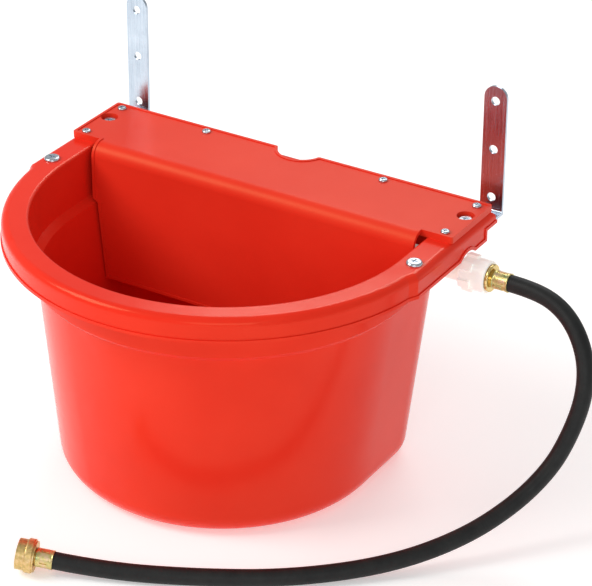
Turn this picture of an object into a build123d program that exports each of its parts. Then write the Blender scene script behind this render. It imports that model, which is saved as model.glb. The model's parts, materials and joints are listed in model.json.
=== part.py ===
from build123d import *
from math import cos, pi, radians, sin, sqrt, tan
import os

# Float-valve water trough for livestock, hung on a wall by two flat steel brackets.
# Frame: +X to the valve side, +Y to the wall, +Z up. The origin is on the floor, under the
# centre of the basin's half-round front. Millimetres.

os.makedirs("parts", exist_ok=True)

# ---- Driving dimensions ----
# Basin
rim_height = 278.0              # top face of the rim above the floor
rim_thickness = 3.5
rim_edge_radius = 8.0           # rounding of the rim's top outer edge
lip_radius = 3.0                # rounding of the rim's inner edge
wall = 3.2
basin_half_width = 203.0        # outside of the upper walls
basin_back_y = 123.0
basin_corner_radius = 20.0
side_overhang = 30.4            # the rim beyond the walls: sides, front and back
front_overhang = 27.8
back_overhang = 19.0
rim_front_centre_y = 2.5
skirt_depth = 25.4
skirt_thickness = 2.4
bead_width = 3.4                # raised bead along the skirt's lower edge
bead_height = 1.2
side_step_length = 10.0
tail_skirt_depth = 13.8         # the shallow skirt at the wall end, over the bracket
tail_skirt_length = 21.0
ledge_drop = 61.4               # from the rim down to where the walls step in
ledge_rise = 6.0
ledge_inset = 8.4
waist_corner_radius = 57.0
side_draft = 24.0               # the lower walls lean in this far on their way to the floor
back_draft = 13.0
floor_centre_y = -9.3
floor_corner_radius = 51.0
floor_edge_radius = 24.0

# Cover with its hanging front panel
cover_side_gap = 4.2            # the rim beyond the cover's sides and back
cover_back_gap = 4.0
cover_end_depth = 85.0
cover_thickness = 6.4
cover_skin = 3.0
cover_edge = 5.0                # solid edge round the hollow underside
cover_corner_radius = 2.5
cover_bead_width = 3.0
cover_bead_height = 1.0
notch_radius = 26.1             # finger notch in the back edge
notch_centre_gap = 7.5          # its centre lies this far behind the edge
apron_bend_radius = 14.0
apron_bend_gap = 1.0            # the bend's centre, in front of the cover's ends
apron_depth = 154.8             # the panel's foot, below the cover's top
apron_wall_gap = 5.5            # between the panel's sides and the basin's walls
apron_step_gap = 3.0
apron_foot_gap = 1.5
apron_step_rise = 3.4           # the middle of the panel's step, above the ledge's foot
apron_step_height = 3.4
cover_screw_side_gap = 12.3     # from the cover's edges to the screws
cover_screw_back_gap = 10.7
cover_screw_front_gap = 8.0
cover_mid_screw_x = 108.1
cover_screw_radius = 2.0
cover_screw_length = 13.5
screw_head_radius = 4.75
screw_head_height = 2.7
screw_boss_radius = 5.0
pilot_boss_radius = 4.4
pilot_boss_height = 5.8
recess_length = 4.6
recess_width = 1.1
recess_depth = 1.3

# Wall brackets
bracket_side_gap = 16.6         # from the rim's side to the strap's centre
bracket_back_gap = 16.9         # from the rim's back to the strap
bracket_rise = 126.6            # the strap's top, above the rim
bracket_width = 25.4
bracket_thickness = 3.2
bracket_hole_radius = 4.75
bracket_hole_pitch = 53.5
bracket_top_hole_gap = 16.0     # from the top hole's centre to the end
bracket_bend_radius = 3.0
bracket_notch_gap = 1.0         # free gap between the strap and the skirt's back
bolt_boss_height = 7.9
bolt_boss_radius = 9.0
bolt_back_gap = 38.1            # from the rim's back to the rear bolts
bolt_pitch = 105.1
bolt_step_gap = 18.8            # from the front bolts to the step in the rim's side
bolt_radius = 3.15
bolt_hole_radius = 3.5
bolt_head_radius = 8.4
bolt_head_height = 3.2
bolt_overrun = 1.5              # below the nut
bolt_recess_length = 7.4
bolt_recess_width = 1.6
bolt_recess_depth = 1.6
access_gap = 0.9                # round the bolt's head, in the cover
access_wall = 2.7
washer_radius = 8.0
washer_thickness = 1.3
nut_across_flats = 11.1
nut_height = 5.6

# Float valve
valve_back_gap = 42.0           # from the basin's back to the valve's axis
valve_ledge_gap = 0.2           # from the ledge up to the valve's flange
valve_stem_radius = 9.9
valve_flange_overhang = 3.7
valve_flange_thickness = 4.0
tail_flange_overhang = 2.3
tail_length = 2.5
gasket_thickness = 2.0
gasket_inset = 0.5
chamber_radius = 12.0
chamber_depth = 53.0            # its open end, in from the basin's outside
seat_depth = 17.0
seat_web = 2.5
nozzle_radius = 2.4
outlet_radius = 4.0
inlet_bore_radius = 6.6
plunger_radius = 7.5
plunger_clearance = 0.08
plunger_stem_radius = 4.0
plunger_guide_depth = 2.0       # the wide part starts this far inside the chamber
seal_radius = 5.0
seal_depth = 4.0
seal_stand_off = 1.0            # the seal stands out of the plunger
seal_gap = 0.25                 # left between seal and seat when closed
lock_nut_wall = 2.3
lock_nut_length = 26.0
swivel_nut_wall = 3.0
swivel_nut_length = 27.0
swivel_nut_gap = 2.5            # from the lock nut to the swivel nut
swivel_nut_web = 4.0
lug_height = 2.2
lug_width = 9.0
lug_share = 0.45                # of the swivel nut's length
arch_gap = 3.0                  # between the lugs and the arch in the skirt
thread_overhang = 3.3           # the hose thread beyond the valve's stem
thread_clearance = 0.6
pivot_gap = 8.0                 # from the chamber's end to the pivot pin
pivot_drop = 10.0               # the pivot pin, below the valve's axis
pin_radius = 2.0
pin_clearance = 0.08
pin_head_overhang = 1.2
pin_head_height = 1.4
pin_overrun = 1.5
hub_radius = 5.0
hub_half_width = 5.5
ear_gap = 0.4
ear_thickness = 3.5
ear_radius = 5.5
ear_root = 4.0                  # the ears run into the chamber
cam_radius = 3.0
cam_gap = 0.4                   # between the cam and the plunger
cam_half_width = 3.0
finger_width = 3.2
socket_length = 26.0
socket_width = 9.0
rod_grip = 14.0
rod_overrun = 8.0               # beyond the float
float_swing = 30.0              # degrees, from hanging open to closed
arm_reach = 126.0               # pivot to the float's centre
float_length = 92.0
float_width = 56.0
float_height = 46.0
float_corner_radius = 9.0
float_nut_flats = 9.0
float_nut_thickness = 4.0
rod_radius = 2.4

# Hose and fittings
hose_radius = 8.85
ferrule_wall = 1.25
ferrule_length = 17.0
ring_overhang = 1.2             # the ring beyond the thread
ring_thickness = 3.2
ring_gap = 0.6                  # between the swivel nut and the ring
ring_neck = 2.0
ring_edge_radius = 1.2
fitting_bore_radius = 3.6
washer_depth = 3.0
far_nut_wall = 1.8
far_nut_length = 18.0
far_bead_rise = 1.7
far_bead_width = 8.0
far_bead_start = 1.5
far_neck_radius = 8.0
far_flange_gap = 1.8            # between the tail's flange and the nut's bore
far_flange_thickness = 2.0
far_web = 3.0
thread_relief = 0.5             # behind the thread, round the washer

# ---- Derived places ----
fit_gap = 0.3                   # free gap between pieces that move past each other
nut_fit = 0.05                  # round screws and bolts in their holes and nuts
seat_fit = 0.02
skirt_cut_reach = 10.0          # each way, for cuts through the skirt
cut_length = 60.0               # longer than anything it is cut through

rim_underside = rim_height - rim_thickness
rim_half_width = basin_half_width + side_overhang
rim_front_radius = basin_half_width + front_overhang
rim_back_y = basin_back_y + back_overhang
skirt_bottom = rim_height - skirt_depth
thread_radius = valve_stem_radius + thread_overhang
swivel_nut_radius = thread_radius + thread_clearance + swivel_nut_wall
ring_radius = thread_radius + ring_overhang
far_nut_radius = thread_radius + thread_clearance + far_nut_wall
far_flange_radius = thread_radius + thread_clearance - far_flange_gap
far_bead_radius = far_nut_radius + far_bead_rise
ferrule_radius = hose_radius + ferrule_wall
skirt_arch_radius = swivel_nut_radius + lug_height + arch_gap
ledge_height = rim_height - ledge_drop
waist_half_width = basin_half_width - ledge_inset
floor_half_width = waist_half_width - side_draft
floor_back_y = basin_back_y - back_draft

cover_top = rim_height + cover_thickness
cover_half_width = rim_half_width - cover_side_gap
cover_back_y = rim_back_y - cover_back_gap
cover_front_y = cover_back_y - cover_end_depth
apron_bend_y = cover_front_y - apron_bend_gap
apron_y = apron_bend_y - apron_bend_radius
apron_bottom = cover_top - apron_depth
cover_screw_x = cover_half_width - cover_screw_side_gap

bracket_x = rim_half_width - bracket_side_gap
bracket_front_y = rim_back_y + bracket_back_gap
bracket_top = rim_height + bracket_rise
bracket_leg_top = rim_underside - bolt_boss_height
leg_bottom = bracket_leg_top - bracket_thickness
bolt_back_y = rim_back_y - bolt_back_gap
bolt_front_y = bolt_back_y - bolt_pitch
side_step_y = bolt_front_y - bolt_step_gap

valve_y = basin_back_y - valve_back_gap
valve_flange_radius = valve_stem_radius + valve_flange_overhang
valve_z = ledge_height + ledge_rise + valve_flange_radius + valve_ledge_gap
lock_nut_radius = valve_stem_radius + lock_nut_wall
chamber_end_x = basin_half_width - chamber_depth
seat_x = basin_half_width - seat_depth
pivot_x = chamber_end_x - pivot_gap

SCREW_POINTS = [
    (side * x, y)
    for side in (-1, 1)
    for x, y in (
        (cover_screw_x, cover_back_y - cover_screw_back_gap),
        (cover_screw_x, cover_front_y + cover_screw_front_gap),
        (cover_mid_screw_x, cover_back_y - cover_screw_back_gap),
    )
]
BOLT_POINTS = [(side * bracket_x, y) for side in (-1, 1) for y in (bolt_front_y, bolt_back_y)]


def half_round(height, half_width, centre_y, back_y, corner_radius):
    """A basin section: half-round front, straight sides, rounded back corners."""
    corner = corner_radius * (1 - sqrt(0.5))
    with BuildSketch(Plane.XY.offset(height)) as section:
        with BuildLine():
            ThreePointArc((-half_width, centre_y), (0, centre_y - half_width), (half_width, centre_y))
            Line((half_width, centre_y), (half_width, back_y - corner_radius))
            ThreePointArc(
                (half_width, back_y - corner_radius),
                (half_width - corner, back_y - corner),
                (half_width - corner_radius, back_y),
            )
            Line((half_width - corner_radius, back_y), (corner_radius - half_width, back_y))
            ThreePointArc(
                (corner_radius - half_width, back_y),
                (corner - half_width, back_y - corner),
                (-half_width, back_y - corner_radius),
            )
            Line((-half_width, back_y - corner_radius), (-half_width, centre_y))
        make_face()
    return section.sketch


def rim_outline(height, inset):
    """The rim's plan, drawn in from the bead's outside by inset."""
    side = rim_half_width - inset
    radius = rim_front_radius - inset
    step_end = side_step_y - side_step_length
    arc_x = sqrt(radius**2 - (step_end - rim_front_centre_y) ** 2)
    back = rim_back_y - inset
    with BuildSketch(Plane.XY.offset(height)) as outline:
        with BuildLine():
            ThreePointArc((-arc_x, step_end), (0, rim_front_centre_y - radius), (arc_x, step_end))
            Polyline(
                (arc_x, step_end), (side, side_step_y), (side, back),
                (-side, back), (-side, side_step_y), (-arc_x, step_end),
            )
        make_face()
    return outline.sketch


# ---- Basin ----
with BuildPart() as basin_outside:
    loft(
        sections=[
            half_round(0, floor_half_width, floor_centre_y, floor_back_y, floor_corner_radius),
            half_round(ledge_height, waist_half_width, 0, basin_back_y, waist_corner_radius),
        ],
        ruled=True,
    )
    fillet(basin_outside.faces().sort_by(Axis.Z)[0].edges(), radius=floor_edge_radius)

with BuildPart() as basin_shoulder:
    loft(
        sections=[
            half_round(ledge_height, waist_half_width + bead_width, 0, basin_back_y, waist_corner_radius),
            half_round(
                ledge_height + ledge_rise, basin_half_width, 0, basin_back_y, basin_corner_radius
            ),
        ],
        ruled=True,
    )
    extrude(
        half_round(
            ledge_height + ledge_rise, basin_half_width, 0, basin_back_y, basin_corner_radius
        ),
        amount=rim_underside - ledge_height - ledge_rise,
    )

with BuildPart() as basin_cavity:
    loft(
        sections=[
            half_round(
                wall, floor_half_width - wall, floor_centre_y, floor_back_y - wall,
                floor_corner_radius - wall,
            ),
            half_round(
                ledge_height, waist_half_width - wall, 0, basin_back_y - wall,
                waist_corner_radius - wall,
            ),
        ],
        ruled=True,
    )
    fillet(basin_cavity.faces().sort_by(Axis.Z)[0].edges(), radius=floor_edge_radius - wall)

with BuildPart() as mouth_cavity:
    loft(
        sections=[
            half_round(
                ledge_height, waist_half_width - wall, 0, basin_back_y - wall,
                waist_corner_radius - wall,
            ),
            half_round(
                ledge_height + ledge_rise, basin_half_width - wall, 0, basin_back_y - wall,
                basin_corner_radius - wall,
            ),
        ],
        ruled=True,
    )
    extrude(
        half_round(
            ledge_height + ledge_rise, basin_half_width - wall, 0, basin_back_y - wall,
            basin_corner_radius - wall,
        ),
        amount=rim_height - ledge_height,
    )

with BuildPart() as rim_shell:
    extrude(rim_outline(skirt_bottom, bead_height), amount=skirt_depth)
    fillet(rim_shell.faces().sort_by(Axis.Z)[-1].edges(), radius=rim_edge_radius)

with BuildPart() as rim_pocket:
    extrude(
        rim_outline(skirt_bottom, bead_height + skirt_thickness), amount=skirt_depth - rim_thickness
    )
    fillet(rim_pocket.faces().sort_by(Axis.Z)[-1].edges(), radius=rim_edge_radius - skirt_thickness)

with BuildPart() as front_bead:
    extrude(rim_outline(skirt_bottom, 0), amount=bead_width)
    extrude(
        rim_outline(skirt_bottom, bead_height + skirt_thickness / 4), amount=bead_width,
        mode=Mode.SUBTRACT,
    )
    with Locations((0, side_step_y, skirt_bottom)):
        Box(
            3 * rim_half_width, rim_back_y + rim_half_width, 4 * bead_width,
            align=(Align.CENTER, Align.MIN, Align.CENTER), mode=Mode.SUBTRACT,
        )


def side_profile(with_arch):
    """The skirt's side below the rim: its shallow tail and, on one side, the valve's arch."""
    tail_bottom = rim_height - tail_skirt_depth
    tail_y = rim_back_y - tail_skirt_length
    with BuildSketch() as profile:
        with BuildLine():
            Polyline(
                (side_step_y, rim_underside), (side_step_y, skirt_bottom), (tail_y, skirt_bottom),
                (tail_y, tail_bottom), (rim_back_y, tail_bottom), (rim_back_y, rim_underside),
                close=True,
            )
        make_face()
        if with_arch:
            with Locations((valve_y, valve_z)):
                Circle(skirt_arch_radius, mode=Mode.SUBTRACT)
    return profile.sketch


def side_cut(plane, with_arch):
    """What the side profile leaves out of a full-depth skirt."""
    with BuildSketch(plane) as cut:
        with BuildLine():
            Polyline(
                (side_step_y, rim_underside), (side_step_y, skirt_bottom - 1),
                (rim_back_y + 1, skirt_bottom - 1), (rim_back_y + 1, rim_underside), close=True,
            )
        make_face()
        add(side_profile(with_arch), mode=Mode.SUBTRACT)
    return cut.sketch


with BuildPart() as side_beads:
    for side, with_arch in ((-1, False), (1, True)):
        plane = Plane.YZ.offset(side * rim_half_width)
        with BuildSketch(plane) as bead_band:
            add(side_profile(with_arch))
            with BuildLine():
                Polyline(
                    (side_step_y, rim_underside), (side_step_y, skirt_bottom + bead_width),
                    (rim_back_y - tail_skirt_length - bead_width, skirt_bottom + bead_width),
                    (rim_back_y - tail_skirt_length - bead_width,
                     rim_height - tail_skirt_depth + bead_width),
                    (rim_back_y, rim_height - tail_skirt_depth + bead_width),
                    (rim_back_y, rim_underside), close=True,
                )
            make_face(mode=Mode.SUBTRACT)
            if with_arch:
                with Locations((valve_y, valve_z)):
                    Circle(skirt_arch_radius + bead_width)
                    Circle(skirt_arch_radius, mode=Mode.SUBTRACT)
                with Locations((valve_y, skirt_bottom)):
                    Rectangle(
                        4 * skirt_arch_radius, 4 * skirt_arch_radius,
                        align=(Align.CENTER, Align.MAX), mode=Mode.SUBTRACT,
                    )
        extrude(amount=-side * (bead_height + skirt_thickness / 4))

with BuildPart() as trough_bowl:
    add(rim_shell.part)
    add(rim_pocket.part, mode=Mode.SUBTRACT)
    with Locations((0, rim_back_y, skirt_bottom)):
        Box(
            2 * (bracket_x - bracket_width / 2 - bracket_notch_gap), 2 * skirt_cut_reach,
            skirt_depth - tail_skirt_depth,
            align=(Align.CENTER, Align.CENTER, Align.MIN), mode=Mode.SUBTRACT,
        )
    for side in (-1, 1):
        with Locations((side * bracket_x, rim_back_y, skirt_bottom)):
            Box(
                bracket_width + 2 * bracket_notch_gap, 2 * skirt_cut_reach, skirt_depth - rim_thickness,
                align=(Align.CENTER, Align.CENTER, Align.MIN), mode=Mode.SUBTRACT,
            )
    for side, with_arch in ((-1, False), (1, True)):
        cut_plane = Plane.YZ.offset(side * (rim_half_width + skirt_cut_reach))
        extrude(
            side_cut(cut_plane, with_arch), amount=-2 * side * skirt_cut_reach, mode=Mode.SUBTRACT
        )
    add(front_bead.part)
    add(side_beads.part)
    with Locations(*[(x, y, bracket_leg_top) for x, y in BOLT_POINTS]):
        Cylinder(bolt_boss_radius, bolt_boss_height, align=(Align.CENTER, Align.CENTER, Align.MIN))
    with Locations(*[(x, y, rim_underside - pilot_boss_height) for x, y in SCREW_POINTS]):
        Cylinder(
            pilot_boss_radius, pilot_boss_height + rim_thickness / 2,
            align=(Align.CENTER, Align.CENTER, Align.MIN),
        )
    add(basin_outside.part)
    add(basin_shoulder.part)
    add(basin_cavity.part, mode=Mode.SUBTRACT)
    add(mouth_cavity.part, mode=Mode.SUBTRACT)
    mouth_edges = trough_bowl.faces().sort_by(Axis.Z)[-1].inner_wires()[0].edges()
    fillet(mouth_edges, radius=lip_radius)
    with Locations(*[(x, y, rim_height) for x, y in BOLT_POINTS]):
        Cylinder(bolt_hole_radius, cut_length, mode=Mode.SUBTRACT)
    with Locations(*[(x, y, rim_height) for x, y in SCREW_POINTS]):
        Cylinder(
            cover_screw_radius + nut_fit, 2 * (cover_screw_length - cover_thickness + 1),
            mode=Mode.SUBTRACT,
        )
    with Locations(Plane((basin_half_width, valve_y, valve_z), z_dir=(1, 0, 0))):
        Cylinder(valve_stem_radius + fit_gap, 4 * wall, mode=Mode.SUBTRACT)
trough_bowl.part.label = "trough_bowl"
export_step(trough_bowl.part, "parts/trough_bowl.step")


# ---- Cover ----
apron_top_x = basin_half_width - wall - apron_wall_gap
apron_step_top = ledge_height + apron_step_rise + apron_step_height / 2
apron_step_foot = apron_step_top - apron_step_height


def waist_width_at(height):
    """Inside half width of the lower basin walls at a height."""
    share = height / ledge_height
    return floor_half_width + (waist_half_width - floor_half_width) * share - wall


apron_step_x = waist_half_width - wall - apron_step_gap
apron_foot_x = waist_width_at(apron_bottom) - apron_foot_gap


def cover_plan(inset):
    """The cover's flat top, with the finger notch, drawn in by inset."""
    with BuildSketch() as plan:
        with Locations((0, cover_back_y - inset)):
            Rectangle(
                2 * (cover_half_width - inset), cover_end_depth - 2 * inset,
                align=(Align.CENTER, Align.MAX),
            )
        with Locations((0, cover_back_y + notch_centre_gap)):
            Circle(notch_radius + inset, mode=Mode.SUBTRACT)
        fillet(plan.vertices(), radius=cover_corner_radius)
    return plan.sketch


def apron_outline(inset):
    """The hanging panel seen from the front, drawn in from its sides and foot by inset."""
    with BuildSketch() as panel:
        with BuildLine():
            Polyline(
                (inset - apron_top_x, cover_top - apron_bend_radius),
                (inset - apron_top_x, apron_step_top),
                (inset - apron_step_x, apron_step_foot),
                (inset - apron_foot_x, apron_bottom + inset),
                (apron_foot_x - inset, apron_bottom + inset),
                (apron_step_x - inset, apron_step_foot),
                (apron_top_x - inset, apron_step_top),
                (apron_top_x - inset, cover_top - apron_bend_radius),
                close=True,
            )
        make_face()
    return panel.sketch


def bend_profile(outside, inside):
    """A strip of the cover's front bend, between two radii about the bend's centre."""
    centre_z = cover_top - apron_bend_radius
    reach = 4 * apron_bend_radius
    with BuildSketch() as bend:
        with Locations((apron_bend_y, centre_z)):
            Circle(outside)
            Circle(inside, mode=Mode.SUBTRACT)
        with Locations((apron_bend_y, centre_z)):
            Rectangle(reach, reach, align=(Align.MIN, Align.CENTER), mode=Mode.SUBTRACT)
            Rectangle(reach, reach, align=(Align.CENTER, Align.MAX), mode=Mode.SUBTRACT)
    return bend.sketch


with BuildPart() as float_cover:
    with BuildSketch(Plane.XY.offset(rim_height)):
        add(cover_plan(0))
    extrude(amount=cover_thickness)
    with BuildSketch(Plane.XY.offset(rim_height)):
        add(cover_plan(cover_edge))
    extrude(amount=cover_thickness - cover_skin, mode=Mode.SUBTRACT)
    with BuildSketch(Plane.XY.offset(cover_top)):
        add(cover_plan(0))
        add(cover_plan(cover_bead_width), mode=Mode.SUBTRACT)
        with Locations((0, cover_front_y)):
            Rectangle(
                2 * (apron_top_x - cover_bead_width), 4 * cover_bead_width, mode=Mode.SUBTRACT
            )
    extrude(amount=cover_bead_height)
    with Locations((0, apron_bend_y, cover_top)):
        Box(
            2 * apron_top_x, apron_bend_gap + cover_edge + 1, cover_skin,
            align=(Align.CENTER, Align.MIN, Align.MAX),
        )
    with BuildSketch(Plane.YZ):
        add(bend_profile(apron_bend_radius, apron_bend_radius - cover_skin))
    extrude(amount=apron_top_x, both=True)
    with BuildSketch(Plane.XZ.offset(-apron_y - cover_skin)):
        add(apron_outline(0))
    extrude(amount=cover_skin)
    with BuildSketch(Plane.XZ.offset(-apron_y)):
        add(apron_outline(0))
        add(apron_outline(cover_bead_width), mode=Mode.SUBTRACT)
        with Locations((0, cover_top - apron_bend_radius)):
            Rectangle(
                2 * (apron_top_x - cover_bead_width), 3 * cover_bead_width, mode=Mode.SUBTRACT
            )
    extrude(amount=cover_bead_height)
    for side in (-1, 1):
        with BuildSketch(Plane.YZ.offset(side * apron_top_x)):
            add(bend_profile(apron_bend_radius + cover_bead_height, apron_bend_radius - cover_skin))
        extrude(amount=-side * cover_bead_width)
        with Locations((side * apron_top_x, apron_bend_y, cover_top + cover_bead_height)):
            Box(
                cover_bead_width, apron_bend_gap + cover_bead_width, cover_skin,
                align=(Align.MAX if side > 0 else Align.MIN, Align.MIN, Align.MAX),
            )
    with Locations(*[(x, y, rim_height) for x, y in SCREW_POINTS]):
        Cylinder(
            screw_boss_radius, cover_thickness - 1, align=(Align.CENTER, Align.CENTER, Align.MIN)
        )
        Cylinder(cover_screw_radius + fit_gap, cut_length, mode=Mode.SUBTRACT)
    with Locations(*[(x, y, rim_height) for x, y in BOLT_POINTS if y > cover_front_y]):
        Cylinder(
            bolt_head_radius + access_gap + access_wall, cover_thickness - 1,
            align=(Align.CENTER, Align.CENTER, Align.MIN),
        )
        Cylinder(bolt_head_radius + access_gap, cut_length, mode=Mode.SUBTRACT)
float_cover.part.label = "float_cover"
export_step(float_cover.part, "parts/float_cover.step")

with BuildPart() as cover_screws:
    with Locations(*[(x, y, cover_top) for x, y in SCREW_POINTS]):
        Cylinder(
            screw_head_radius, screw_head_height, align=(Align.CENTER, Align.CENTER, Align.MIN)
        )
        Cylinder(cover_screw_radius, cover_screw_length, align=(Align.CENTER, Align.CENTER, Align.MAX))
    fillet(cover_screws.edges().group_by(Axis.Z)[-1], radius=screw_head_height - 1)
    with Locations(*[(x, y, cover_top + screw_head_height) for x, y in SCREW_POINTS]):
        Box(recess_length, recess_width, 2 * recess_depth, mode=Mode.SUBTRACT)
        Box(recess_width, recess_length, 2 * recess_depth, mode=Mode.SUBTRACT)
cover_screws.part.label = "cover_screws"
export_step(cover_screws.part, "parts/cover_screws.step")

# ---- Wall brackets and their bolts ----
bracket_back_y = bracket_front_y + bracket_thickness
bracket_hole_heights = [
    bracket_top - bracket_top_hole_gap - step * bracket_hole_pitch for step in range(3)
]
leg_front_y = bolt_front_y - bracket_width / 2

for side, name in ((-1, "left_wall_bracket"), (1, "right_wall_bracket")):
    with BuildPart() as wall_bracket:
        with BuildSketch(Plane.YZ.offset(side * bracket_x)) as bracket_side:
            with BuildLine():
                Polyline(
                    (leg_front_y, leg_bottom), (bracket_back_y, leg_bottom),
                    (bracket_back_y, bracket_top), (bracket_front_y, bracket_top),
                    (bracket_front_y, bracket_leg_top), (leg_front_y, bracket_leg_top),
                    close=True,
                )
            make_face()
            corners = bracket_side.vertices()
            inner = corners.sort_by_distance((bracket_front_y, bracket_leg_top, 0))[0]
            outer = corners.sort_by_distance((bracket_back_y, leg_bottom, 0))[0]
            fillet(inner, radius=bracket_bend_radius)
            fillet(outer, radius=bracket_bend_radius + bracket_thickness)
        extrude(amount=bracket_width / 2, both=True)
        top_corners = wall_bracket.edges().filter_by(Axis.Y).group_by(Axis.Z)[-1]
        fillet(top_corners, radius=bracket_width / 2 - 0.1)
        leg_corners = wall_bracket.edges().filter_by(Axis.Z).group_by(Axis.Y)[0]
        fillet(leg_corners, radius=bracket_width / 4)
        with Locations(
            *[
                Location(Plane((side * bracket_x, bracket_front_y, z), z_dir=(0, 1, 0)))
                for z in bracket_hole_heights
            ]
        ):
            Cylinder(bracket_hole_radius, 4 * bracket_thickness, mode=Mode.SUBTRACT)
        with Locations(*[(side * bracket_x, y, leg_bottom) for y in (bolt_front_y, bolt_back_y)]):
            Cylinder(bolt_hole_radius, 4 * bracket_thickness, mode=Mode.SUBTRACT)
    wall_bracket.part.label = name
    export_step(wall_bracket.part, f"parts/{name}.step")

with BuildPart() as bracket_bolts:
    with Locations(*[(x, y, rim_height) for x, y in BOLT_POINTS]):
        Cylinder(bolt_head_radius, bolt_head_height, align=(Align.CENTER, Align.CENTER, Align.MIN))
        Cylinder(
            bolt_radius, rim_height - leg_bottom + washer_thickness + nut_height + bolt_overrun,
            align=(Align.CENTER, Align.CENTER, Align.MAX),
        )
    fillet(bracket_bolts.edges().group_by(Axis.Z)[-1], radius=0.8 * bolt_head_height)
    with Locations(*[(x, y, rim_height + bolt_head_height) for x, y in BOLT_POINTS]):
        Box(bolt_recess_length, bolt_recess_width, 2 * bolt_recess_depth, mode=Mode.SUBTRACT)
        Box(bolt_recess_width, bolt_recess_length, 2 * bolt_recess_depth, mode=Mode.SUBTRACT)
bracket_bolts.part.label = "bracket_bolts"
export_step(bracket_bolts.part, "parts/bracket_bolts.step")

with BuildPart() as bracket_washers:
    with Locations(*[(x, y, leg_bottom) for x, y in BOLT_POINTS]):
        Cylinder(washer_radius, washer_thickness, align=(Align.CENTER, Align.CENTER, Align.MAX))
        Cylinder(bolt_radius + fit_gap, 4 * washer_thickness, mode=Mode.SUBTRACT)
bracket_washers.part.label = "bracket_washers"
export_step(bracket_washers.part, "parts/bracket_washers.step")

with BuildPart() as bracket_nuts:
    with BuildSketch(Plane.XY.offset(leg_bottom - washer_thickness)):
        with Locations(*BOLT_POINTS):
            RegularPolygon(nut_across_flats / 2, 6, major_radius=False)
            Circle(bolt_radius + nut_fit, mode=Mode.SUBTRACT)
    extrude(amount=-nut_height)
bracket_nuts.part.label = "bracket_nuts"
export_step(bracket_nuts.part, "parts/bracket_nuts.step")

# ---- Float valve, through the basin's right wall ----
flange_x = basin_half_width - wall - gasket_thickness - valve_flange_thickness
nut_start_x = basin_half_width + lock_nut_length + swivel_nut_gap
tail_x = nut_start_x + swivel_nut_web + fit_gap
pivot_z = valve_z - pivot_drop
ear_inside = hub_half_width + ear_gap


def along_valve(x):
    """A plane across the valve's axis at x."""
    return Plane((x, valve_y, valve_z), x_dir=(0, 1, 0), z_dir=(1, 0, 0))


with BuildPart() as valve_body:
    for start, end, radius in (
        (chamber_end_x, flange_x, chamber_radius),
        (flange_x, flange_x + valve_flange_thickness, valve_flange_radius),
        (flange_x + valve_flange_thickness, tail_x, valve_stem_radius),
        (tail_x, tail_x + tail_length, valve_stem_radius + tail_flange_overhang),
    ):
        with BuildSketch(along_valve(start)):
            Circle(radius)
        extrude(amount=end - start)
    for side in (-1, 1):
        with BuildSketch(Plane.XZ.offset(-valve_y - side * ear_inside)):
            with BuildLine():
                Polyline(
                    (chamber_end_x + ear_root, valve_z),
                    (pivot_x - ear_radius / 2, pivot_z + ear_radius),
                    (pivot_x - ear_radius, pivot_z),
                    (pivot_x - ear_radius / 2, pivot_z - ear_radius),
                    (chamber_end_x + ear_root, pivot_z - ear_radius / 2),
                    close=True,
                )
            make_face()
        extrude(amount=-side * ear_thickness)
    with BuildSketch(along_valve(chamber_end_x - 1)):
        Circle(plunger_radius + plunger_clearance)
    extrude(amount=seat_x - chamber_end_x + 1, mode=Mode.SUBTRACT)
    with BuildSketch(along_valve(seat_x - 1)):
        Circle(nozzle_radius)
    extrude(amount=seat_web + 2, mode=Mode.SUBTRACT)
    with BuildSketch(along_valve(seat_x + seat_web)):
        Circle(inlet_bore_radius)
    extrude(amount=tail_x, mode=Mode.SUBTRACT)
    with Locations((seat_x - outlet_radius - 1, valve_y, valve_z)):
        Cylinder(
            outlet_radius, cut_length, align=(Align.CENTER, Align.CENTER, Align.MAX),
            mode=Mode.SUBTRACT,
        )
    with Locations(Plane((pivot_x, valve_y, pivot_z), z_dir=(0, 1, 0))):
        Cylinder(pin_radius + seat_fit, cut_length, mode=Mode.SUBTRACT)
valve_body.part.label = "valve_body"
export_step(valve_body.part, "parts/valve_body.step")

with BuildPart() as valve_gasket:
    with BuildSketch(along_valve(basin_half_width - wall)):
        Circle(valve_flange_radius - gasket_inset)
        Circle(valve_stem_radius + nut_fit, mode=Mode.SUBTRACT)
    extrude(amount=-gasket_thickness)
valve_gasket.part.label = "valve_gasket"
export_step(valve_gasket.part, "parts/valve_gasket.step")

with BuildPart() as valve_lock_nut:
    with BuildSketch(along_valve(basin_half_width)):
        Circle(lock_nut_radius)
        Circle(valve_stem_radius + nut_fit, mode=Mode.SUBTRACT)
    extrude(amount=lock_nut_length)
    chamfer(valve_lock_nut.edges().filter_by(GeomType.CIRCLE).group_by(SortBy.RADIUS)[-1], length=1)
valve_lock_nut.part.label = "valve_lock_nut"
export_step(valve_lock_nut.part, "parts/valve_lock_nut.step")

with BuildPart() as inlet_swivel_nut:
    with BuildSketch(along_valve(nut_start_x)):
        Circle(swivel_nut_radius)
    extrude(amount=swivel_nut_length)
    with BuildSketch(along_valve(nut_start_x)):
        with PolarLocations(swivel_nut_radius, 6, start_angle=15):
            Rectangle(2 * lug_height, lug_width)
    extrude(amount=lug_share * swivel_nut_length)
    chamfer(inlet_swivel_nut.edges().group_by(Axis.X)[-1], length=0.8)
    with BuildSketch(along_valve(nut_start_x)):
        Circle(valve_stem_radius + fit_gap)
    extrude(amount=swivel_nut_web, mode=Mode.SUBTRACT)
    with BuildSketch(along_valve(nut_start_x + swivel_nut_web)):
        Circle(thread_radius + thread_clearance)
    extrude(amount=swivel_nut_length, mode=Mode.SUBTRACT)
inlet_swivel_nut.part.label = "inlet_swivel_nut"
export_step(inlet_swivel_nut.part, "parts/inlet_swivel_nut.step")

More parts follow.
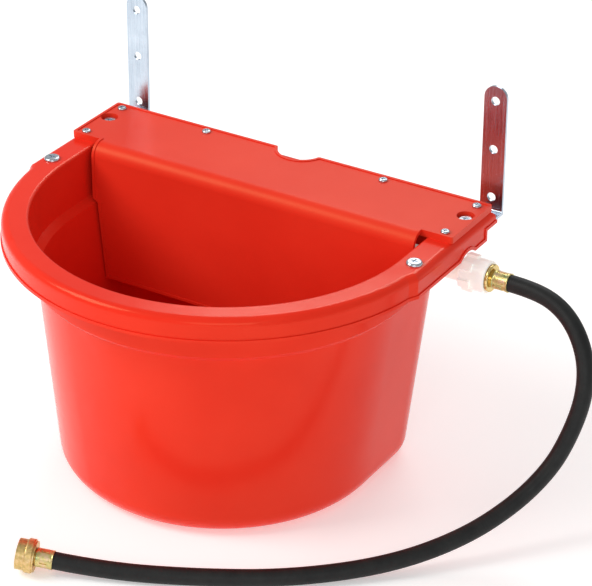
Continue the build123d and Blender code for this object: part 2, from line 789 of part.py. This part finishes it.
with BuildPart() as inlet_washer:
    with BuildSketch(along_valve(tail_x + tail_length)):
        Circle(thread_radius)
        Circle(inlet_bore_radius, mode=Mode.SUBTRACT)
    extrude(amount=washer_depth)
inlet_washer.part.label = "inlet_washer"
export_step(inlet_washer.part, "parts/inlet_washer.step")

# ---- Plunger, lever and float ----
plunger_travel = pivot_drop * radians(float_swing)
cam_x = pivot_x - pivot_drop * sin(radians(float_swing / 2))
plunger_start_x = cam_x + cam_radius + cam_gap
seal_face_x = seat_x - plunger_travel - seal_gap
guide_start_x = chamber_end_x + plunger_guide_depth

with BuildPart() as valve_plunger:
    with BuildSketch(along_valve(plunger_start_x)):
        Circle(plunger_stem_radius)
    extrude(amount=guide_start_x - plunger_start_x)
    with BuildSketch(along_valve(guide_start_x)):
        Circle(plunger_radius)
    extrude(amount=seal_face_x - guide_start_x - seal_stand_off)
    with BuildSketch(along_valve(seal_face_x - seal_depth)):
        Circle(seal_radius)
    extrude(amount=seal_depth, mode=Mode.SUBTRACT)
valve_plunger.part.label = "valve_plunger"
export_step(valve_plunger.part, "parts/valve_plunger.step")

with BuildPart() as plunger_seal:
    with BuildSketch(along_valve(seal_face_x - seal_depth)):
        Circle(seal_radius)
    extrude(amount=seal_depth)
plunger_seal.part.label = "plunger_seal"
export_step(plunger_seal.part, "parts/plunger_seal.step")

with BuildPart() as pivot_pin:
    with Locations(Plane((pivot_x, valve_y, pivot_z), z_dir=(0, 1, 0))):
        Cylinder(pin_radius, 2 * (ear_inside + ear_thickness + pin_overrun))
    with Locations(
        Plane((pivot_x, valve_y - ear_inside - ear_thickness - nut_fit, pivot_z), z_dir=(0, -1, 0))
    ):
        Cylinder(
            pin_radius + pin_head_overhang, pin_head_height,
            align=(Align.CENTER, Align.CENTER, Align.MIN),
        )
pivot_pin.part.label = "pivot_pin"
export_step(pivot_pin.part, "parts/pivot_pin.step")

swing = radians(float_swing)
arm_plane = Plane((pivot_x, valve_y, pivot_z), x_dir=(-cos(swing), 0, -sin(swing)), z_dir=(0, 1, 0))
cam_place = (-pivot_drop * sin(swing / 2), pivot_drop * cos(swing / 2))


def across_arm(distance):
    """A plane across the float's rod, at a distance from the pivot."""
    place = arm_plane.from_local_coords(Vector(distance, 0, 0))
    return Plane(place, x_dir=(0, 1, 0), z_dir=arm_plane.x_dir)


with BuildPart() as float_lever:
    with BuildSketch(arm_plane):
        Circle(hub_radius)
        with BuildLine():
            Line((0, 0), cam_place)
        trace(line_width=finger_width)
        with Locations(cam_place):
            Circle(cam_radius)
    extrude(amount=cam_half_width, both=True)
    with BuildSketch(arm_plane):
        Circle(hub_radius)
        with Locations((socket_length / 2, 0)):
            Rectangle(socket_length, socket_width)
    extrude(amount=hub_half_width, both=True)
    with BuildSketch(arm_plane):
        Circle(pin_radius + pin_clearance)
    extrude(amount=cut_length, both=True, mode=Mode.SUBTRACT)
    with BuildSketch(across_arm(socket_length - rod_grip)):
        Circle(rod_radius)
    extrude(amount=cut_length, mode=Mode.SUBTRACT)
float_lever.part.label = "float_lever"
export_step(float_lever.part, "parts/float_lever.step")

with BuildPart() as float_rod:
    with BuildSketch(across_arm(socket_length - rod_grip)):
        Circle(rod_radius)
    extrude(amount=arm_reach + float_length / 2 + rod_overrun - socket_length + rod_grip)
float_rod.part.label = "float_rod"
export_step(float_rod.part, "parts/float_rod.step")

with BuildPart() as valve_float:
    with Locations(Plane(across_arm(arm_reach).origin, x_dir=arm_plane.x_dir, z_dir=arm_plane.y_dir)):
        Box(float_length, float_width, float_height)
    fillet(valve_float.edges(), radius=float_corner_radius)
    with BuildSketch(across_arm(arm_reach - float_length)):
        Circle(rod_radius + nut_fit)
    extrude(amount=2 * float_length, mode=Mode.SUBTRACT)
valve_float.part.label = "valve_float"
export_step(valve_float.part, "parts/valve_float.step")

with BuildPart() as float_nuts:
    for distance in (
        arm_reach - float_length / 2 - float_nut_thickness, arm_reach + float_length / 2
    ):
        with BuildSketch(across_arm(distance)):
            RegularPolygon(float_nut_flats / 2, 6, major_radius=False)
            Circle(rod_radius + nut_fit, mode=Mode.SUBTRACT)
        extrude(amount=float_nut_thickness)
float_nuts.part.label = "float_nuts"
export_step(float_nuts.part, "parts/float_nuts.step")

# ---- Hose: male fitting in the swivel nut, free hose, female swivel end on the floor ----
ring_x = nut_start_x + swivel_nut_length + ring_gap
ferrule_x = ring_x + ring_thickness + ring_neck
hose_start_x = ferrule_x + ferrule_length

with BuildPart() as hose_male_fitting:
    for start, end, radius in (
        (tail_x + tail_length + washer_depth, ring_x - ring_neck, thread_radius),
        (ring_x - ring_neck, ring_x, hose_radius),
        (ring_x, ring_x + ring_thickness, ring_radius),
        (ring_x + ring_thickness, hose_start_x, hose_radius - 2 * nut_fit),
    ):
        with BuildSketch(along_valve(start)):
            Circle(radius)
        extrude(amount=end - start)
    ring_edges = hose_male_fitting.edges().filter_by(GeomType.CIRCLE).group_by(SortBy.RADIUS)[-1]
    fillet(ring_edges, radius=ring_edge_radius)
    with BuildSketch(along_valve(tail_x)):
        Circle(fitting_bore_radius)
    extrude(amount=hose_start_x - tail_x, mode=Mode.SUBTRACT)
hose_male_fitting.part.label = "hose_male_fitting"
export_step(hose_male_fitting.part, "parts/hose_male_fitting.step")

with BuildPart() as male_ferrule:
    with BuildSketch(along_valve(ferrule_x)):
        Circle(ferrule_radius)
        Circle(hose_radius - nut_fit, mode=Mode.SUBTRACT)
    extrude(amount=ferrule_length)
male_ferrule.part.label = "male_ferrule"
export_step(male_ferrule.part, "parts/male_ferrule.step")

# The hose leaves its ferrule level, drops in one bend, and runs round the front on the floor.
HOSE_ROUTE = [
    (hose_start_x, valve_y, valve_z),
    (308, 81, 236.4),
    (338, 77.6, 229.3),
    (363, 68, 213),
    (380.5, 56, 187),
    (385.5, 43.5, 155),
    (379, 31.5, 118),
    (368.5, 13.7, 84.5),
    (347, -19, 53),
    (314, -67, 28),
    (263, -126, 12.5),
    (190, -191, 8.9),
    (109, -239, 8.9),
    (31, -274, 8.9),
    (-16, -293, 15),
]


def corner_radii(route):
    """The largest tangent arc that each corner's two runs allow."""
    points = [Vector(*point) for point in route]
    radii = []
    for before, corner, after in zip(points, points[1:], points[2:]):
        turn = radians((corner - before).get_angle(after - corner))
        run = min((corner - before).length, (after - corner).length)
        radii.append(0.45 * run / tan(turn / 2))
    return radii


hose_radii = corner_radii(HOSE_ROUTE)
print("hose arc radii", [round(radius, 1) for radius in hose_radii])

with BuildPart() as hose_tube:
    with BuildLine() as hose_path:
        FilletPolyline(*HOSE_ROUTE, radius=hose_radii)
    with BuildSketch(Plane(hose_path.wire() @ 0, z_dir=hose_path.wire() % 0)):
        Circle(hose_radius)
    sweep(path=hose_path.wire())
hose_tube.part.label = "hose_tube"
export_step(hose_tube.part, "parts/hose_tube.step")
hose_volume = hose_path.wire().length * pi * hose_radius**2
print("hose length", round(hose_path.wire().length, 1))
print("hose volume over section times length", round(hose_tube.part.volume / hose_volume, 5))

far_end = Vector(*HOSE_ROUTE[-1])
far_direction = (far_end - Vector(*HOSE_ROUTE[-2])).normalized()
far_web_start = ferrule_length + 1
far_flange_start = far_web_start + far_web + fit_gap


def along_far_end(distance):
    """A plane across the far fitting's axis, at a distance from the hose's end."""
    return Plane(far_end + far_direction * distance, z_dir=far_direction)


with BuildPart() as female_ferrule:
    with BuildSketch(along_far_end(0)):
        Circle(ferrule_radius)
        Circle(hose_radius - nut_fit, mode=Mode.SUBTRACT)
    extrude(amount=ferrule_length)
female_ferrule.part.label = "female_ferrule"
export_step(female_ferrule.part, "parts/female_ferrule.step")

with BuildPart() as hose_female_tail:
    for start, end, radius in (
        (0, ferrule_length, hose_radius - 2 * nut_fit),
        (ferrule_length, far_flange_start, far_neck_radius),
        (far_flange_start, far_flange_start + far_flange_thickness, far_flange_radius),
    ):
        with BuildSketch(along_far_end(start)):
            Circle(radius)
        extrude(amount=end - start)
    with BuildSketch(along_far_end(0)):
        Circle(fitting_bore_radius)
    extrude(amount=far_flange_start + far_flange_thickness, mode=Mode.SUBTRACT)
hose_female_tail.part.label = "hose_female_tail"
export_step(hose_female_tail.part, "parts/hose_female_tail.step")

with BuildPart() as hose_swivel_nut:
    with BuildSketch(along_far_end(far_web_start)):
        Circle(far_nut_radius)
    extrude(amount=far_nut_length)
    with BuildSketch(along_far_end(far_web_start + far_bead_start)):
        Circle(far_bead_radius)
    extrude(amount=far_bead_width)
    bead_edges = hose_swivel_nut.edges().filter_by(GeomType.CIRCLE).group_by(SortBy.RADIUS)[-1]
    fillet(bead_edges, radius=0.9 * far_bead_rise)
    with BuildSketch(along_far_end(far_web_start)):
        Circle(far_neck_radius + fit_gap)
    extrude(amount=far_web, mode=Mode.SUBTRACT)
    with BuildSketch(along_far_end(far_web_start + far_web)):
        Circle(thread_radius + thread_clearance)
    extrude(amount=far_nut_length, mode=Mode.SUBTRACT)
    with BuildSketch(along_far_end(far_web_start + far_web)):
        Circle(thread_radius + thread_clearance + thread_relief)
    extrude(amount=far_flange_thickness + washer_depth + 2 * fit_gap, mode=Mode.SUBTRACT)
hose_swivel_nut.part.label = "hose_swivel_nut"
export_step(hose_swivel_nut.part, "parts/hose_swivel_nut.step")

with BuildPart() as hose_washer:
    with BuildSketch(along_far_end(far_flange_start + far_flange_thickness)):
        Circle(thread_radius)
        Circle(inlet_bore_radius, mode=Mode.SUBTRACT)
    extrude(amount=washer_depth)
hose_washer.part.label = "hose_washer"
export_step(hose_washer.part, "parts/hose_washer.step")
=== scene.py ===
import json
import math

import bpy
from mathutils import Matrix, Vector


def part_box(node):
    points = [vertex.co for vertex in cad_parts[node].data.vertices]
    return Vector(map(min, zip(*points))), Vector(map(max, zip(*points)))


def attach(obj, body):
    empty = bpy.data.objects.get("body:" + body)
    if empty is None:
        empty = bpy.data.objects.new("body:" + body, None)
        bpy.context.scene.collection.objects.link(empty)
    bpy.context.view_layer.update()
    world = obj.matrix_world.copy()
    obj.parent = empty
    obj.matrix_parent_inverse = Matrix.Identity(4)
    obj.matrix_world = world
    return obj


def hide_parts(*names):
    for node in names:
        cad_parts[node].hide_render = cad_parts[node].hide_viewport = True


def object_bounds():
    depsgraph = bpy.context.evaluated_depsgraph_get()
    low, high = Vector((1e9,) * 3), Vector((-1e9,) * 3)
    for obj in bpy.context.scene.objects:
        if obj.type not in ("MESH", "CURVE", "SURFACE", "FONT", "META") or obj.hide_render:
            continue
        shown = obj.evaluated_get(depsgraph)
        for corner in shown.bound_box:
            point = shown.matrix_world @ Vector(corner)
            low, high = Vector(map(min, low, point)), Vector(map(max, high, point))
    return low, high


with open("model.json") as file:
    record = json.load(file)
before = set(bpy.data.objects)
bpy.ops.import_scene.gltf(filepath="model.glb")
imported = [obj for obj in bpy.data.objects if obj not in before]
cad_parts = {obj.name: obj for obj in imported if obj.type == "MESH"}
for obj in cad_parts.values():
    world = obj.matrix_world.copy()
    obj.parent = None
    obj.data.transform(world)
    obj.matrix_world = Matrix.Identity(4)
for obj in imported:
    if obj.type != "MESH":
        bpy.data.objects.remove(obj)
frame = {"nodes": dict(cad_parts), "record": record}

CAD_LOW, CAD_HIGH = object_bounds()
NODES = frame["nodes"]

# ---- Camera ----
CAMERA_PLACE = (1.31036, -2.02363, 1.5231)
CAMERA_LENS = 163.25                        # millimetres, on a sensor 36 mm wide
CAMERA_ANGLES = (31.265, 29.109, 0.337)     # azimuth, elevation and roll, in degrees

azimuth, elevation, roll = (math.radians(angle) for angle in CAMERA_ANGLES)
back = Vector((
    math.sin(azimuth) * math.cos(elevation),
    -math.cos(azimuth) * math.cos(elevation),
    math.sin(elevation),
))
level = Vector((math.cos(azimuth), math.sin(azimuth), 0))
upright = back.cross(level)
camera_x = level * math.cos(roll) + upright * math.sin(roll)
camera_y = upright * math.cos(roll) - level * math.sin(roll)
camera_data = bpy.data.cameras.new("camera")
camera_data.sensor_width = 36
camera_data.lens = CAMERA_LENS
camera_data.clip_start = 0.05
camera_data.clip_end = 60
camera = bpy.data.objects.new("camera", camera_data)
camera_turn = Matrix((camera_x, camera_y, back)).transposed().to_4x4()
camera.matrix_world = Matrix.Translation(CAMERA_PLACE) @ camera_turn
bpy.context.scene.collection.objects.link(camera)
bpy.context.scene.camera = camera

# ---- Hose ----
HOSE_ROUTE = [
    (0.2813, 0.081, 0.2364),
    (0.308, 0.081, 0.2364),
    (0.338, 0.0776, 0.2293),
    (0.363, 0.068, 0.213),
    (0.3805, 0.056, 0.187),
    (0.3855, 0.0435, 0.155),
    (0.379, 0.0315, 0.118),
    (0.3685, 0.0137, 0.0845),
    (0.347, -0.019, 0.053),
    (0.314, -0.067, 0.028),
    (0.263, -0.126, 0.0125),
    (0.190, -0.191, 0.0089),
    (0.109, -0.239, 0.0089),
    (0.031, -0.274, 0.0089),
    (-0.016, -0.293, 0.015),
]
HOSE_RADIUS = 0.00885


def hose_curve():
    """The hose as a tube along its spline. The spline's points carry the radius, so that the
    curve's bounding box is the tube's own."""
    data = bpy.data.curves.new("rubber_hose", "CURVE")
    data.dimensions = "3D"
    data.resolution_u = 10
    data.bevel_depth = 1.0
    data.bevel_resolution = 10
    spline = data.splines.new("NURBS")
    spline.points.add(len(HOSE_ROUTE) - 1)
    for point, place in zip(spline.points, HOSE_ROUTE):
        point.co = (*place, 1)
        point.radius = HOSE_RADIUS
    spline.order_u = 3
    spline.use_endpoint_u = True
    spline.use_smooth = True
    curve = bpy.data.objects.new("rubber_hose", data)
    bpy.context.scene.collection.objects.link(curve)
    return curve


hose = hose_curve()
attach(hose, "trough")
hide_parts("hose_tube")

FAR_END = Vector(HOSE_ROUTE[-1])
FAR_AXIS = (FAR_END - Vector(HOSE_ROUTE[-2])).normalized()


# ---- Materials ----
SCUFF = 0.05        # how much rougher worn plastic is


def new_material(name):
    """A material with its node tree, its shader and a helper that adds and links nodes."""
    material = bpy.data.materials.new(name)
    material.use_nodes = True
    tree = material.node_tree
    shader = tree.nodes["Principled BSDF"]

    def add(kind, values=(), **settings):
        node = tree.nodes.new(kind)
        for key, value in settings.items():
            setattr(node, key, value)
        for socket, value in dict(values).items():
            if isinstance(value, bpy.types.NodeSocket):
                tree.links.new(value, node.inputs[socket])
            else:
                node.inputs[socket].default_value = value
        return node

    return material, tree, shader, add


def shade(material, values):
    """Set values on a material's own shader, each by its socket's name."""
    shader = material.node_tree.nodes["Principled BSDF"]
    for socket, value in values.items():
        shader.inputs[socket].default_value = value


def place(add, stretch=(1, 1, 1)):
    """Object coordinates in metres, stretched per axis."""
    coordinates = add("ShaderNodeTexCoord")
    mapping = add("ShaderNodeMapping", {"Vector": coordinates.outputs["Object"], "Scale": stretch})
    return mapping.outputs["Vector"]


def ramp(add, factor, stops):
    """A colour ramp through stops of (position, colour)."""
    node = add("ShaderNodeValToRGB", {"Fac": factor})
    elements = node.color_ramp.elements
    elements.remove(elements[1])
    for index, (position, colour) in enumerate(stops):
        element = elements.new(position) if index else elements[0]
        element.position = position
        element.color = (*colour, 1)
    return node.outputs["Color"]


def spread(add, factor, low, high):
    """A factor from 0 to 1 as a value from low to high."""
    node = add("ShaderNodeMapRange", {"Value": factor, "To Min": low, "To Max": high})
    return node.outputs["Result"]


def noise(add, vector, scale, detail=3, roughness=0.5):
    """A noise factor from 0 to 1."""
    node = add(
        "ShaderNodeTexNoise",
        {"Vector": vector, "Scale": scale, "Detail": detail, "Roughness": roughness},
    )
    return node.outputs["Fac"]


def moulded_plastic(name, colours, gloss, grain_scale, grain_depth):
    """Moulded plastic: faint colour drift through three colours, roughness a little above
    gloss in worn patches, fine grain and mould ripple."""
    material, tree, shader, add = new_material(name)
    spot = place(add)
    drift = noise(add, spot, 9, 4)
    tree.links.new(ramp(add, drift, list(zip((0.25, 0.5, 0.75), colours))), shader.inputs["Base Color"])
    wear = noise(add, spot, 45, 5, 0.6)
    tree.links.new(spread(add, wear, gloss, gloss + SCUFF), shader.inputs["Roughness"])
    grain = noise(add, spot, grain_scale, 2)
    ripple = noise(add, spot, 26, 2)
    fine = add("ShaderNodeBump", {"Height": grain, "Strength": 0.35, "Distance": grain_depth})
    wave = add(
        "ShaderNodeBump",
        {"Height": ripple, "Strength": 0.25, "Distance": 0.0012, "Normal": fine.outputs["Normal"]},
    )
    tree.links.new(wave.outputs["Normal"], shader.inputs["Normal"])
    shade(material, {"IOR": 1.5})
    return material


def metal(name, colours, gloss, streak_scale, depth=0.00003, blotch_scale=14, stretch=(1, 1, 1)):
    """Plated or rolled metal: a tint through three colours from blotches and streaks, with
    the streaks also in roughness and height. stretch draws the streaks out along an axis."""
    material, tree, shader, add = new_material(name)
    spot = place(add)
    tint = noise(add, spot, blotch_scale, 5, 0.6)
    streak = noise(add, place(add, stretch), streak_scale, 4, 0.65)
    both = add("ShaderNodeMath", {0: tint, 1: streak}, operation="ADD").outputs["Value"]
    half = add("ShaderNodeMath", {0: both, 1: 0.5}, operation="MULTIPLY").outputs["Value"]
    stops = list(zip((0.34, 0.5, 0.66), colours))
    tree.links.new(ramp(add, half, stops), shader.inputs["Base Color"])
    tree.links.new(spread(add, streak, gloss * 0.6, gloss * 1.5), shader.inputs["Roughness"])
    bump = add("ShaderNodeBump", {"Height": streak, "Strength": 0.4, "Distance": depth})
    tree.links.new(bump.outputs["Normal"], shader.inputs["Normal"])
    shade(material, {"Metallic": 1})
    return material


trough_plastic = moulded_plastic(
    "glossy_red_plastic",
    [(0.82, 0.025, 0.012), (0.86, 0.030, 0.014), (0.89, 0.036, 0.017)],
    gloss=0.17, grain_scale=1500, grain_depth=0.00003,
)
shade(trough_plastic, {"Specular IOR Level": 0.22, "Specular Tint": (1.0, 0.8, 0.4, 1)})

cover_plastic = moulded_plastic(
    "satin_red_plastic",
    [(0.80, 0.031, 0.014), (0.84, 0.037, 0.017), (0.87, 0.044, 0.020)],
    gloss=0.36, grain_scale=900, grain_depth=0.00035,
)
shade(cover_plastic, {"Specular IOR Level": 0.25, "Specular Tint": (1.0, 0.8, 0.35, 1)})

nylon = moulded_plastic(
    "natural_nylon",
    [(0.86, 0.82, 0.75), (0.91, 0.88, 0.82), (0.94, 0.92, 0.88)],
    gloss=0.3, grain_scale=1100, grain_depth=0.00004,
)
# The emission is painted light: a faint glow that makes the nylon brighter than the lamps alone would
# light it.
shade(nylon, {
    "Subsurface Weight": 0.35,
    "Subsurface Radius": (0.006, 0.005, 0.004),
    "Subsurface Scale": 1.0,
    "Emission Color": (1.0, 0.95, 0.90, 1),
    "Emission Strength": 0.22,
})

float_plastic = moulded_plastic(
    "float_plastic",
    [(0.78, 0.78, 0.74), (0.83, 0.83, 0.79), (0.87, 0.87, 0.84)],
    gloss=0.35, grain_scale=700, grain_depth=0.00008,
)

zinc_steel = metal(
    "bright_zinc",
    [(0.44, 0.50, 0.56), (0.60, 0.66, 0.72), (0.76, 0.81, 0.86)],
    gloss=0.2, streak_scale=700,
)
zinc_strap = metal(
    "rolled_zinc_strap",
    [(0.40, 0.47, 0.56), (0.52, 0.60, 0.69), (0.64, 0.72, 0.81)],
    gloss=0.24, streak_scale=520, depth=0.00004, blotch_scale=30, stretch=(1, 1, 0.04),
)
brass = metal(
    "turned_brass",
    [(0.52, 0.36, 0.10), (0.72, 0.53, 0.19), (0.86, 0.69, 0.32)],
    gloss=0.2, streak_scale=500,
)
plated_nut = metal(
    "yellow_plated_nut",
    [(0.46, 0.36, 0.14), (0.70, 0.50, 0.20), (0.88, 0.66, 0.38)],
    gloss=0.40, streak_scale=240, depth=0.00004, blotch_scale=60,
)
plated_ferrule = metal(
    "yellow_plated_ferrule",
    [(0.36, 0.46, 0.24), (0.72, 0.60, 0.24), (0.86, 0.60, 0.48)],
    gloss=0.34, streak_scale=160, depth=0.00005, blotch_scale=120,
)
# Painted shade: a near-black material on the slits' pressed floors stands for the shade deep in each
# cut, which the shallow dents don't give.
slit_painted_shade = metal(
    "ferrule_slit_painted_shade",
    [(0.008, 0.010, 0.008), (0.02, 0.025, 0.018), (0.06, 0.075, 0.05)],
    gloss=0.45, streak_scale=260, depth=0.00005, blotch_scale=160,
)
shade(slit_painted_shade, {"Metallic": 0.3})


def rubber(name, rib_scale=0):
    """Black rubber. A rib_scale adds fine ribs along a hose: it is their wave texture's scale."""
    material, tree, shader, add = new_material(name)
    spot = place(add)
    cloud = noise(add, spot, 60, 5, 0.6)
    tree.links.new(
        ramp(add, cloud, [(0.3, (0.006, 0.0065, 0.007)), (0.7, (0.014, 0.015, 0.0145))]),
        shader.inputs["Base Color"],
    )
    tree.links.new(spread(add, noise(add, spot, 220, 3), 0.42, 0.62), shader.inputs["Roughness"])
    height = noise(add, spot, 1600, 2)
    bump = add("ShaderNodeBump", {"Height": height, "Strength": 0.3, "Distance": 0.0001})
    normal = bump.outputs["Normal"]
    if rib_scale:
        coordinates = add("ShaderNodeTexCoord")
        mapping = add("ShaderNodeMapping", {"Vector": coordinates.outputs["UV"], "Scale": (1, 0, 0)})
        ribs = add(
            "ShaderNodeTexWave",
            {"Vector": mapping.outputs["Vector"], "Scale": rib_scale, "Distortion": 0.0},
            wave_type="BANDS", bands_direction="X",
        )
        rib_bump = add(
            "ShaderNodeBump",
            {"Height": ribs.outputs["Fac"], "Strength": 0.25, "Distance": 0.00025, "Normal": normal},
        )
        normal = rib_bump.outputs["Normal"]
    tree.links.new(normal, shader.inputs["Normal"])
    shade(material, {"Specular IOR Level": 0.3})
    return material


hose_rubber = rubber("ribbed_hose_rubber", rib_scale=90)
seal_rubber = rubber("seal_rubber")
hose.data.materials.append(hose_rubber)

LOOKS = {
    "trough_plastic": trough_plastic,
    "cover_plastic": cover_plastic,
    "zinc_steel": zinc_steel,
    "zinc_strap": zinc_strap,
    "nylon": nylon,
    "seal_rubber": seal_rubber,
    "hose_rubber": hose_rubber,
    "float_plastic": float_plastic,
    "brass": brass,
    "plated_ferrule": plated_ferrule,
    "plated_nut": plated_nut,
}
for subpart in frame["record"]["subparts"]:
    node = NODES[subpart["node"]]
    node.data.materials.clear()
    node.data.materials.append(LOOKS[subpart["material_slot"]])


# ---- Ferrules ----
FERRULE_PARTS_AROUND = 160
FERRULE_PARTS_ALONG = 68
FERRULE_SHARP_ANGLE = math.radians(40)
END_ROLL = 0.0004           # the rolled ends' rise above the ferrule's middle, at most
ROLL_FADE = 14              # the roll fades out over one part in this many of the length
END_STRIP = 0.0005          # from each end to the nearest ring of the outside
FERRULE_FIT = 0.00002       # between the hose and the ferrule
SLIT_FLOOR = 0.00025        # metal left under a slit
FULLY_PRESSED = 0.9         # from this depth the slit's painted shade shows: a dark material for the depth of the cut


def along(origin, axis):
    """A matrix whose Z runs along an axis from an origin."""
    z = Vector(axis).normalized()
    x = Vector((0, 0, 1)).cross(z).normalized()
    y = z.cross(x)
    return Matrix.Translation(origin) @ Matrix((x, y, z)).transposed().to_4x4()


def lathe(name, frame_matrix, profile, materials, dent):
    """A turned mesh: profile is a list of (distance, radius) and closes on itself. dent takes
    a place on it and gives the radius there and whether the second material shows."""
    verts, faces, marks = [], [], []
    around = FERRULE_PARTS_AROUND
    rings = len(profile)
    for ring, (distance, radius) in enumerate(profile):
        for step in range(around):
            angle = 2 * math.pi * step / around
            r, dented = dent(ring, distance, angle, radius)
            verts.append((r * math.cos(angle), r * math.sin(angle), distance))
            marks.append(dented)
    for ring in range(rings):
        after = (ring + 1) % rings
        for step in range(around):
            turn = (step + 1) % around
            faces.append((
                ring * around + step, ring * around + turn, after * around + turn, after * around + step,
            ))
    mesh = bpy.data.meshes.new(name)
    mesh.from_pydata(verts, [], faces)
    mesh.update()
    mesh.transform(frame_matrix)
    for material in materials:
        mesh.materials.append(material)
    for polygon in mesh.polygons:
        polygon.use_smooth = True
        if all(marks[v] for v in polygon.vertices):
            polygon.material_index = 1
    mesh.set_sharp_from_angle(angle=FERRULE_SHARP_ANGLE)
    piece = bpy.data.objects.new(name, mesh)
    bpy.context.scene.collection.objects.link(piece)
    return piece


def steps(start, end, count):
    """The places of count equal steps from start to end, both ends included."""
    return [start + (end - start) * i / count for i in range(count + 1)]


def crimped_ferrule(name, node, frame_matrix, length, radius, columns, slit):
    """A pressed ferrule with rolled ends. slit takes a share of the length and a share of the
    way across one of its columns, and gives how deep it is pressed there, from 0 to 1."""
    inner = HOSE_RADIUS + FERRULE_FIT
    press = radius - inner - SLIT_FLOOR
    outside = []
    for distance in steps(END_STRIP, length - END_STRIP, FERRULE_PARTS_ALONG):
        share = distance / length
        roll = END_ROLL * max(0.0, 1 - ROLL_FADE * min(share, 1 - share))
        outside.append((distance, radius - END_ROLL + roll))
    profile = [(0.0, inner), (0.0, radius - END_ROLL)] + outside
    profile += [(length, radius - END_ROLL), (length, inner)]

    def dent(ring, distance, angle, r):
        if not 2 < ring < len(profile) - 3:
            return r, False
        depth = slit(distance / length, (angle / (2 * math.pi) * columns) % 1)
        return r - press * depth, depth >= FULLY_PRESSED

    # The slits' floors get the painted shade as the second material.
    piece = lathe(name, frame_matrix, profile, (plated_ferrule, slit_painted_shade), dent)
    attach(piece, "trough")
    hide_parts(node)
    return piece


def tongue_slit(share, across):
    """An L-shaped slit round a pressed tongue: along its side and across its outer end."""
    if 0.16 < share < 0.84 and across < 0.26:
        return 1.0
    if 0.70 < share < 0.84 and across < 0.78:
        return 1.0
    return 0.25 if 0.20 < share < 0.70 and across < 0.78 else 0.0


def fold_slit(share, across):
    """A short fold with a shallow hollow beside it."""
    if 0.30 < share < 0.72 and across < 0.14 + 0.1 * math.sin(9 * share):
        return 1.0
    return 0.2 if 0.2 < share < 0.8 and across < 0.5 else 0.0


near_low, near_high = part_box("male_ferrule")
near_centre = (near_low + near_high) / 2
ferrule_length = near_high.x - near_low.x
ferrule_radius = (near_high.z - near_low.z) / 2
near_ferrule = crimped_ferrule(
    "near_ferrule", "male_ferrule", along((near_low.x, near_centre.y, near_centre.z), (1, 0, 0)),
    ferrule_length, ferrule_radius, columns=8, slit=tongue_slit,
)
far_ferrule = crimped_ferrule(
    "far_ferrule", "female_ferrule", along(FAR_END, FAR_AXIS),
    ferrule_length, ferrule_radius, columns=5, slit=fold_slit,
)

# ---- Floor and light ----
FLOOR_REACH = 9             # metres from the middle to each side
FLOOR_DROP = 0.0002         # below the trough, so that the two don't touch
WORLD_STRENGTH = 0.45

floor_mesh = bpy.data.meshes.new("floor")
floor_corners = [(x * FLOOR_REACH, y * FLOOR_REACH, 0) for x, y in ((-1, -1), (1, -1), (1, 1), (-1, 1))]
floor_mesh.from_pydata(floor_corners, [], [(0, 1, 2, 3)])
floor = bpy.data.objects.new("floor", floor_mesh)
floor.location.z = CAD_LOW.z - FLOOR_DROP
bpy.context.scene.collection.objects.link(floor)
floor_material = new_material("pale_floor")[0]
shade(floor_material, {
    "Base Color": (0.86, 0.855, 0.85, 1),
    "Roughness": 0.75,
    "Emission Color": (1, 1, 1, 1),
    "Emission Strength": 0.36,
})
floor_mesh.materials.append(floor_material)

world = bpy.data.worlds.new("studio")
world.use_nodes = True
background = world.node_tree.nodes["Background"]
background.inputs["Color"].default_value = (1.0, 1.0, 1.0, 1)
background.inputs["Strength"].default_value = WORLD_STRENGTH
bpy.context.scene.world = world


def softbox(name, spot, aim, size, watts, colour=(1, 1, 1)):
    """A rectangular studio light at spot, facing aim."""
    data = bpy.data.lights.new(name, "AREA")
    data.shape = "RECTANGLE"
    data.size, data.size_y = size
    data.energy = watts
    data.color = colour
    light = bpy.data.objects.new(name, data)
    light.location = spot
    light.rotation_mode = "QUATERNION"
    light.rotation_quaternion = (Vector(aim) - Vector(spot)).to_track_quat("-Z", "Y")
    bpy.context.scene.collection.objects.link(light)


softbox("key_light", (-1.5, -1.3, 2.0), (0, -0.02, 0.15), (1.3, 1.3), 40, (1.0, 0.985, 0.96))
softbox("front_light", (1.3, -2.2, 1.2), (0, 0, 0.12), (1.6, 0.9), 12)
softbox("back_light", (-0.5, 1.9, 1.9), (0, 0, 0.25), (1.6, 0.7), 16)

bpy.context.scene.view_settings.view_transform = "Standard"
